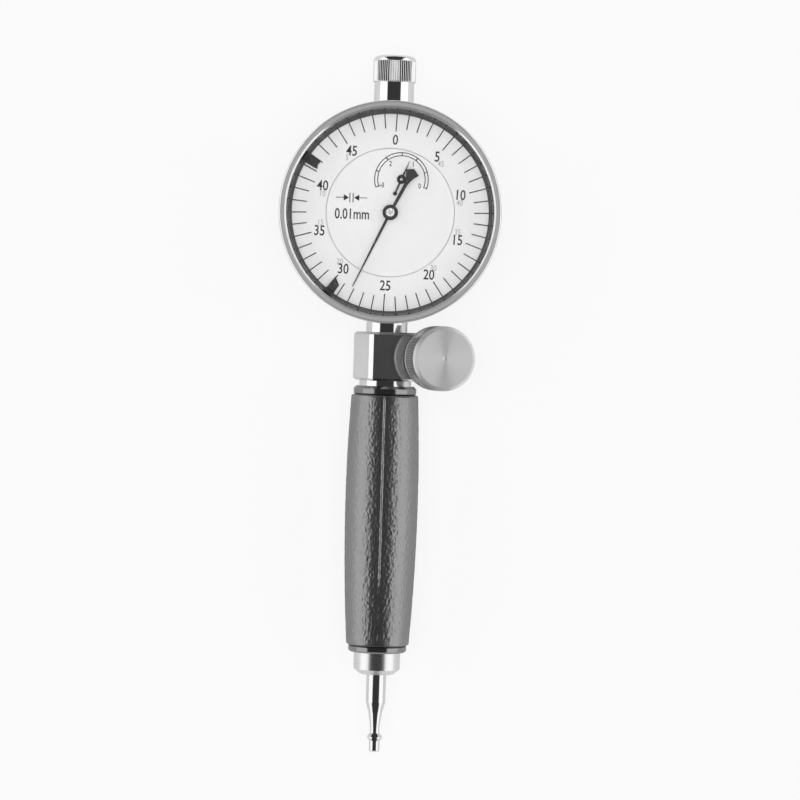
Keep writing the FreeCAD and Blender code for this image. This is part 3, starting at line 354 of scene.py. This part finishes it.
zero_bearing = 2.3
divisions = 50
tick_half, tick_outer = 0.11, 19.15
plain_tick_inner, numbered_tick_inner = 16.3, 15.75
numeral_radius, numeral_height = 14.15, 2.0
reverse_radius, reverse_height, reverse_shift = 13.6, 1.15, 6
upright = turned_about(zero_bearing)
scale_print = bmesh.new()
for division in range(divisions):
    inner = plain_tick_inner if division % 5 else numbered_tick_inner
    add_bar(scale_print, -tick_half, tick_half, inner, tick_outer,
            turned_about(zero_bearing + division * 360 / divisions))
for division in range(0, divisions, 5):
    bearing = division * 360 / divisions
    spot = turned_about(bearing) @ Vector((0, numeral_radius, 0))
    add_figure(scale_print, str(division), numeral_height, upright @ Matrix.Translation(spot))
    if division not in (0, 25):
        level = 90 if bearing < 180 else 270
        shift = reverse_shift if bearing < level else -reverse_shift
        spot = turned_about(bearing + shift) @ Vector((0, reverse_radius, 0))
        add_figure(scale_print, str(divisions - division), reverse_height,
                   upright @ Matrix.Translation(spot), 1)
finish_print("scale_print", scale_print, "dial_ring", "bezel")

counter_spot = Vector((1.97, 6.49, 0))
counter_place = Matrix.Translation(counter_spot)
counter_end, counter_step = 108, 36
line_half = 0.09
centre_print = bmesh.new()
for radius in (5.2, 4.6):
    add_arc(centre_print, radius - line_half, radius + line_half, -counter_end, counter_end + 2,
            counter_place)
for bearing in range(-counter_end, counter_end + 1, counter_step):
    half = 0.12 if abs(bearing) == counter_step else line_half
    add_bar(centre_print, -half, half, 3.9 if bearing == -counter_end else 4.6, 5.2,
            counter_place @ turned_about(bearing))
for number, bearing in enumerate((counter_end, counter_step, -counter_step, -counter_end)):
    spot = counter_spot + turned_about(bearing) @ Vector((0, 3.75, 0))
    add_figure(centre_print, str(number), 1.0, Matrix.Translation(spot))
add_figure(centre_print, "0.01mm", 2.1, Matrix.Translation((-7.43, -0.43, 0)), narrow=0.72)
# The sign above it: two arrows that point at each other across a pair of upright lines.
sign_place = Matrix.Translation((-7.6, 2.7, 0))
arrow_tip, arrow_base, arrow_tail = 0.5, 1.5, 3.05
upright_offset, upright_half = 0.31, 0.91
for side in (-1, 1):
    middle = upright_offset * side
    add_bar(centre_print, middle - line_half, middle + line_half, -upright_half, upright_half, sign_place)
    add_arrowhead(centre_print, arrow_tip * side, arrow_base * side, 0.62, sign_place)
    left, right = sorted((arrow_base * side, arrow_tail * side))
    add_bar(centre_print, left, right, -0.07, 0.07, sign_place)
finish_print("centre_print", centre_print, "centre_dial", "root")

# THE HANDS AND THE TOLERANCE MARKERS
# The hands are thin steel, blacked, and pressed on their arbors with small turned bushes. The markers
# are two bent steel tabs with black paint, held by friction under the crystal.
hand_black = ink("hand_black", 0.035)
dress(hand_black, "main_hand", "counter_hand", "counter_hand_bush", "upper_marker", "lower_marker")
dress(lathe_finish("bush_steel", 0.7, 0.2, dial_place, metallic=0.7), "hand_bush")

# THE BEZEL, THE CRYSTAL AND THE BLACK RING UNDER IT
# The bezel is a turned ring with a fine coin edge, snapped over the case with a wire ring. It carries
# the crystal, which is a flat disc of clear acrylic, and the dial's outer plate.
bezel_radius = (bezel_high.x - bezel_low.x) / 2 / mm
bezel_back = (bezel_low.z - dial_centre.z) / mm
bezel_front = (bezel_high.z - dial_centre.z) / mm
crystal_low, crystal_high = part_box("crystal")
crystal_radius = (crystal_high.x - crystal_low.x) / 2 / mm
spigot_radius = 19.65


def turned(name, corners, steps, place, ring=False, cut=None, sharp=30):
    """A piece turned about its own Z axis, from (radius, height) corners in millimetres."""
    shape = bmesh.new()
    rows = []
    for radius, height in corners:
        if radius == 0:
            rows.append([shape.verts.new((0, 0, height * mm))] * steps)
            continue
        row = []
        for step in range(steps):
            angle = math.tau * step / steps
            reach = (radius - (cut(angle, radius, height) if cut else 0)) * mm
            row.append(shape.verts.new((reach * math.cos(angle), reach * math.sin(angle), height * mm)))
        rows.append(row)
    for lower, upper in zip(rows, rows[1:] + rows[:1] if ring else rows[1:]):
        for step in range(steps):
            after = (step + 1) % steps
            face = list(dict.fromkeys((lower[step], lower[after], upper[after], upper[step])))
            if len(face) > 2:
                shape.faces.new(face)
    bmesh.ops.recalc_face_normals(shape, faces=shape.faces)
    mesh = bpy.data.meshes.new(name)
    shape.to_mesh(mesh)
    shape.free()
    mesh.polygons.foreach_set("use_smooth", [True] * len(mesh.polygons))
    mesh.set_sharp_from_angle(angle=math.radians(sharp))
    piece = bpy.data.objects.new(name, mesh)
    studio.collection.objects.link(piece)
    piece.matrix_world = place
    return piece


coin_edge_count = 300
round_width, round_height = 0.42, 0.55
chamfer_width = 0.36
lip_radius, lip_back, lip_front = 18.9, 5.9, 6.2


def coin_edge(angle, radius, height):
    on_edge = radius > bezel_radius - 0.01 and bezel_back + 0.75 < height < bezel_front - round_height - 0.1
    return 0.07 * (1 - math.cos(coin_edge_count * angle)) if on_edge else 0


outer_round = []
for quarter in range(0, 91, 15):
    turn = math.radians(quarter)
    outer_round.append((bezel_radius - round_width * (1 - math.cos(turn)),
                        bezel_front - round_height * (1 - math.sin(turn))))
bezel_piece = turned("bezel_ring", [
    (spigot_radius, bezel_back), (bezel_radius - 0.5, bezel_back), (bezel_radius, bezel_back + 0.6),
    (bezel_radius, bezel_back + 0.7), (bezel_radius, bezel_back + 0.85),
    (bezel_radius, bezel_front - round_height - 0.2)] + outer_round + [
    (crystal_radius + chamfer_width, bezel_front), (crystal_radius, bezel_front - chamfer_width),
    (crystal_radius, lip_front), (lip_radius, lip_front), (lip_radius, lip_back), (spigot_radius, lip_back)],
    coin_edge_count * 4, dial_place, ring=True, cut=coin_edge)
bezel_piece.data.materials.append(lathe_finish("bezel_satin", 0.6, 0.42, metallic=0.5))
bezel_piece.data.materials.append(lathe_finish("bezel_bright", 0.86, 0.16, metallic=0.7))
for face in bezel_piece.data.polygons:
    reach, height = face.center.xy.length / mm, face.center.z / mm
    between = crystal_radius + chamfer_width < reach < bezel_radius - round_width
    on_face = between and height > bezel_front - 0.05
    face.material_index = 0 if on_face or height < bezel_back + 0.6 else 1
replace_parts(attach(bezel_piece, "bezel"), "bezel")

crystal_clear, clear, clear_shader = new_finish("crystal_clear")
clear_wave = add_node(clear, "ShaderNodeTexNoise", {"Scale": 120.0, "Detail": 1.0})
clear_skin = add_node(clear, "ShaderNodeBump", {
    "Height": clear_wave.outputs[0], "Strength": 0.1, "Distance": 0.01 * mm})
clear.links.new(clear_skin.outputs[0], clear_shader.inputs["Normal"])
clear_shader.inputs["Base Color"].default_value = (1, 1, 1, 1)
clear_shader.inputs["Roughness"].default_value = 0.02
clear_shader.inputs["IOR"].default_value = 1.49
clear_shader.inputs["Transmission Weight"].default_value = 1.0
clear_shader.inputs["Alpha"].default_value = 0.15
dress(crystal_clear, "crystal")

# The ring under the crystal is black, with a painted highlight: its colour is paler half way up its cone and
# darker towards both edges, as light falls on a rounded ring.
ring_black = ink("ring_black", 0.012)
ring_tree = ring_black.node_tree
ring_low, ring_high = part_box("marker_ring")
ring_height = add_node(ring_tree, "ShaderNodeSeparateXYZ", {
    0: add_node(ring_tree, "ShaderNodeTexCoord").outputs["Object"]}).outputs["Z"]
ring_sheen_middle = ring_low.z + (ring_high.z - ring_low.z) * 0.6
ring_painted_sheen = add_node(ring_tree, "ShaderNodeMapRange", {
    "Value": math_node(ring_tree, "ABSOLUTE", math_node(ring_tree, "SUBTRACT", ring_height, ring_sheen_middle)),
    "From Min": 0.2 * mm, "From Max": 1.1 * mm, "To Min": 0.03, "To Max": 0.004})
ring_tree.links.new(ring_painted_sheen.outputs[0], ring_tree.nodes["Principled BSDF"].inputs["Base Color"])
dress(ring_black, "marker_ring")

# THE LIFT CAP
# A polished, plated steel cap on the top end of the spindle, with straight flutes round its head for
# the fingers that lift it. It is screwed on and rises with the spindle.
cap_low, cap_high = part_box("lift_cap")
cap_top = (cap_high.y - dial_centre.y) / mm
cap_bottom = (cap_low.y - dial_centre.y) / mm
cap_radius = (cap_high.x - cap_low.x) / 2 / mm
skirt_radius = cap_radius - 0.3
flute_count = 60
cap_rounding = 1.0
cap_bore_radius, cap_bore_end = 2.9, cap_bottom + 4.8
screw_hole_radius, screw_hole_end = 1.25, cap_top - 2.3
flute_low, flute_high = cap_bottom + 4.9, cap_top - cap_rounding


def cap_flutes(angle, radius, height):
    fluted = radius > cap_radius - 0.01 and flute_low + 0.2 < height < flute_high - 0.05
    return 0.075 * (1 - math.cos(flute_count * angle)) if fluted else 0


cap_shoulder = []
for quarter in range(0, 91, 10):
    turn = math.radians(quarter)
    cap_shoulder.append((cap_radius - cap_rounding * (1 - math.cos(turn)),
                         cap_top - cap_rounding * (1 - math.sin(turn))))
cap_piece = turned("lift_cap_skin", [
    (cap_bore_radius, cap_bottom + 0.3), (cap_bore_radius + 0.1, cap_bottom),
    (skirt_radius - 0.15, cap_bottom),
    (skirt_radius, cap_bottom + 0.15), (skirt_radius, flute_low - 0.12), (skirt_radius + 0.02, flute_low),
    (cap_radius - 0.08, flute_low), (cap_radius, flute_low + 0.1), (cap_radius, flute_low + 0.3),
    (cap_radius, flute_high - 0.1)] + cap_shoulder + [
    (0, cap_top), (0, screw_hole_end), (screw_hole_radius, screw_hole_end), (screw_hole_radius, cap_bore_end),
    (cap_bore_radius, cap_bore_end)], flute_count * 8, stem_place, ring=True, cut=cap_flutes)
cap_piece.data.materials.append(lathe_finish("bright_chrome", 0.86, 0.06, line_depth=0.001))
# The flutes carry painted shade: their base colour darkens towards the floor of each flute.
cap_piece.data.materials.append(lathe_finish(
    "flute_chrome", 0.86, 0.08, line_depth=0.001, painted_shade_radii=(cap_radius - 0.15, cap_radius - 0.09)))
for face in cap_piece.data.polygons:
    height = face.center.z / mm
    fluted = face.center.xy.length / mm > cap_radius - 0.2 and flute_low < height < flute_high
    face.material_index = 1 if fluted else 0
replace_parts(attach(cap_piece, "spindle"), "lift_cap")

# THE STEM AND THE CLAMP
# The stem is a polished steel tube in the case. The handle's clamp is a milled and chromed block with
# a slit, which the knurled knob and its screw close on the stem.
dress(lathe_finish("stem_chrome", 0.82, 0.07, stem_place, line_depth=0.0015), "stem")
dress(lathe_finish("clamp_chrome", 0.8, 0.1, stem_place, line_depth=0.001), "clamp_block", "clamp_screw")

clamp_joint = next(joint for joint in frame["joints"] if joint["name"] == "clamp_knob_turn")
knob_axis = Vector(clamp_joint["axis"]).normalized()
knob_low, knob_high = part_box("clamp_knob")
knob_centre = (knob_low + knob_high) / 2
knob_radius = (knob_high.y - knob_low.y) / 2 / mm
knob_turn = Vector((0, 0, 1)).rotation_difference(knob_axis)
knob_place = Matrix.Translation(knob_centre) @ knob_turn.to_matrix().to_4x4()
knob_half = 3.1
knurl_count = 120


def knob_knurl(angle, radius, height):
    knurled = radius > knob_radius - 0.01 and -knob_half + 0.2 < height < knob_half - 1.0
    return 0.09 * (1 - math.cos(knurl_count * angle)) if knurled else 0


face_radius = 5.67
ring_pitch = 0.2
ring_slope = math.radians(9)
ring_depth = ring_pitch / 2 * math.tan(ring_slope)
face_rings = []
for ring in range(int(face_radius / ring_pitch) - 1):
    face_rings.append((face_radius - ring * ring_pitch, knob_half))
    face_rings.append((face_radius - (ring + 0.5) * ring_pitch, knob_half - ring_depth))
knob_piece = turned("clamp_knob_skin", [
    (0, -knob_half), (knob_radius - 0.2, -knob_half), (knob_radius, -knob_half + 0.15),
    (knob_radius, -knob_half + 0.3), (knob_radius, knob_half - 1.1), (knob_radius, knob_half - 0.9),
    (knob_radius - 0.1, knob_half - 0.8), (knob_radius - 0.1, knob_half - 0.35),
    (knob_radius - 0.16, knob_half - 0.25), (face_radius + 0.06, knob_half - 0.04)] + face_rings + [
    (0.3, knob_half - 0.12), (0, knob_half - 0.2)],
    knurl_count * 4, knob_place, cut=knob_knurl, sharp=60)
knob_steel = lathe_finish("knob_steel", 0.86, 0.45, line_depth=0.002, metallic=0.72)
knob_tree = knob_steel.node_tree
round_axis = add_node(knob_tree, "ShaderNodeTangent", direction_type="RADIAL", axis="Z")
knob_shader = knob_tree.nodes["Principled BSDF"]
knob_tree.links.new(round_axis.outputs[0], knob_shader.inputs["Tangent"])
knob_shader.inputs["Anisotropic"].default_value = 0.9
knob_shader.inputs["Anisotropic Rotation"].default_value = 0.25
knob_piece.data.materials.append(knob_steel)
# The knurl carries painted shade: its base colour darkens towards the floor of each groove.
knob_piece.data.materials.append(lathe_finish(
    "knurl_steel", 0.9, 0.25, line_depth=0.002, metallic=0.6,
    painted_shade_radii=(knob_radius - 0.17, knob_radius - 0.07)))
for face in knob_piece.data.polygons:
    on_edge = face.center.xy.length / mm > knob_radius - 0.25 and face.center.z / mm < knob_half - 1.0
    face.material_index = 1 if on_edge else 0
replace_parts(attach(knob_piece, "clamp_knob"), "clamp_knob")

# THE HANDLE
# A steel tube with a moulded black grip between two glossy black collars, and a satin chromed ferrule
# at its end that holds the probe. The grip has a leather grain, and a seam where its mould parted.
def glossy_black(name, grey, roughness):
    """Hard black plastic with a deep gloss."""
    finish = lathe_finish(name, grey, roughness, stem_place, metallic=0.0, line_depth=0.001)
    shader = finish.node_tree.nodes["Principled BSDF"]
    shader.inputs["IOR"].default_value = 2.2
    shader.inputs["Specular IOR Level"].default_value = 1.0
    return finish


dress(glossy_black("collar_black", 0.012, 0.12), "upper_collar", "lower_collar")

grip_low, grip_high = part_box("grip")
grip_top = (grip_high.y - dial_centre.y) / mm
grip_bottom = (grip_low.y - dial_centre.y) / mm
grip_radius = (grip_high.x - grip_low.x) / 2 / mm
grip_widest = grip_top - 20.5
grip_top_radius, grip_bottom_radius, neck_radius = 6.55, 6.15, 5.06
grain_rows, grain_columns = 330, 250
grain_depth = 0.075
seam_half, seam_rise = 0.16, 0.085
seam_end = grip_bottom + 9.0


def grip_reach(height):
    """The grip swells as a parabola from each end to its widest place."""
    end, end_radius = grip_bottom, grip_bottom_radius
    if height > grip_widest:
        end, end_radius = grip_top, grip_top_radius
    share = (height - grip_widest) / (end - grip_widest)
    return grip_radius - (grip_radius - end_radius) * share ** 2


def grain(spot):
    """Leather grain: flat islands between creases that run mostly along the handle."""
    island = Vector((spot.x * 1.5, spot.y * 0.75, spot.z * 1.5))
    distances = noise.voronoi(island)[0]
    crease = min(distances[1] - distances[0], 0.3) / 0.3
    return crease * 0.7 + 0.3 * noise.noise(island * 2.1)


def smooth_row(height, reach):
    """A plain ring of points round the handle, for the grip's ends."""
    return [grip_shape.verts.new((math.cos(angle) * reach, height, math.sin(angle) * reach))
            for angle in angles]


seam_angles = (math.pi / 2, math.pi * 1.5)
angles = [math.tau * step / grain_columns for step in range(grain_columns)]
near = seam_half * 1.4 / grip_radius
angles = [angle for angle in angles if all(abs(angle - seam) > near for seam in seam_angles)]
for seam in seam_angles:
    angles += [seam + seam_half / grip_radius * share for share in (-1, -0.6, -0.25, 0.25, 0.6, 1)]
angles.sort()
end_rounding = 0.3
grained_length = grip_top - grip_bottom - 2 * end_rounding
heights = [grip_top - end_rounding - grained_length * row / grain_rows for row in range(grain_rows + 1)]
grip_shape = bmesh.new()
grip_rows = [
    smooth_row(grip_top, neck_radius), smooth_row(grip_top, grip_top_radius - end_rounding),
    smooth_row(grip_top - 0.09, grip_top_radius - 0.09)]
for height in heights:
    row = []
    fade = min(1.0, (grip_top - height) / 1.5, (height - grip_bottom) / 1.5)
    seam_fade = max(0.0, min(1.0, (height - seam_end) / 5))
    reach = grip_reach(height)
    for angle in angles:
        out = Vector((math.cos(angle), 0, math.sin(angle)))
        off_seam = min(abs(angle - seam) for seam in seam_angles) * grip_radius
        rise = grain_depth * fade * (grain(out * reach + Vector((0, height, 0))) - 1)
        if off_seam < seam_half * 1.01:
            rise = rise * (1 - seam_fade) + seam_rise * seam_fade * (1 - off_seam / seam_half)
        row.append(grip_shape.verts.new(out * (reach + rise) + Vector((0, height, 0))))
    grip_rows.append(row)
grip_rows += [
    smooth_row(grip_bottom + 0.09, grip_bottom_radius - 0.09),
    smooth_row(grip_bottom, grip_bottom_radius - end_rounding), smooth_row(grip_bottom, neck_radius)]
for upper, lower in zip(grip_rows, grip_rows[1:] + grip_rows[:1]):
    for i in range(len(angles)):
        after = (i + 1) % len(angles)
        grip_shape.faces.new((upper[i], upper[after], lower[after], lower[i]))
bmesh.ops.recalc_face_normals(grip_shape, faces=grip_shape.faces)
grip_mesh = bpy.data.meshes.new("grip_skin")
grip_shape.to_mesh(grip_mesh)
grip_shape.free()
grip_mesh.transform(Matrix.Scale(mm, 4))
grip_mesh.polygons.foreach_set("use_smooth", [True] * len(grip_mesh.polygons))
grip_mesh.set_sharp_from_angle(angle=math.radians(60))
grip_piece = bpy.data.objects.new("grip_skin", grip_mesh)
studio.collection.objects.link(grip_piece)
grip_piece.matrix_world = dial_place
grip_black, skin, skin_shader = new_finish("grip_black")
skin_point = add_node(skin, "ShaderNodeMapping", {
    "Vector": add_node(skin, "ShaderNodeTexCoord").outputs["Object"], "Scale": (1.0, 0.45, 1.0)}).outputs[0]
wrinkles = add_node(skin, "ShaderNodeTexNoise", {"Vector": skin_point, "Scale": 2600.0, "Detail": 3.0})
skin_tone = add_node(skin, "ShaderNodeMapRange", {
    "Value": wrinkles.outputs[0], "To Min": 0.014, "To Max": 0.03})
skin_gloss = add_node(skin, "ShaderNodeMapRange", {
    "Value": wrinkles.outputs[0], "To Min": 0.36, "To Max": 0.24})
skin_relief = add_node(skin, "ShaderNodeBump", {
    "Height": wrinkles.outputs[0], "Strength": 1.0, "Distance": 0.06 * mm})
skin.links.new(skin_tone.outputs[0], skin_shader.inputs["Base Color"])
skin.links.new(skin_gloss.outputs[0], skin_shader.inputs["Roughness"])
skin.links.new(skin_relief.outputs[0], skin_shader.inputs["Normal"])
skin_shader.inputs["IOR"].default_value = 2.2
skin_shader.inputs["Specular IOR Level"].default_value = 1.0
grip_mesh.materials.append(grip_black)
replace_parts(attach(grip_piece, "root"), "grip")
dress(lathe_finish("ferrule_chrome", 0.8, 0.28, stem_place, line_depth=0.004), "ferrule")

# THE PROBE
# A slim steel probe with a split ball near its tip. It is turned, ground and polished, and its slit
# lets the ball spread when the needle inside comes down.
dress(lathe_finish("probe_steel", 0.78, 0.12, stem_place, line_depth=0.002), "probe")
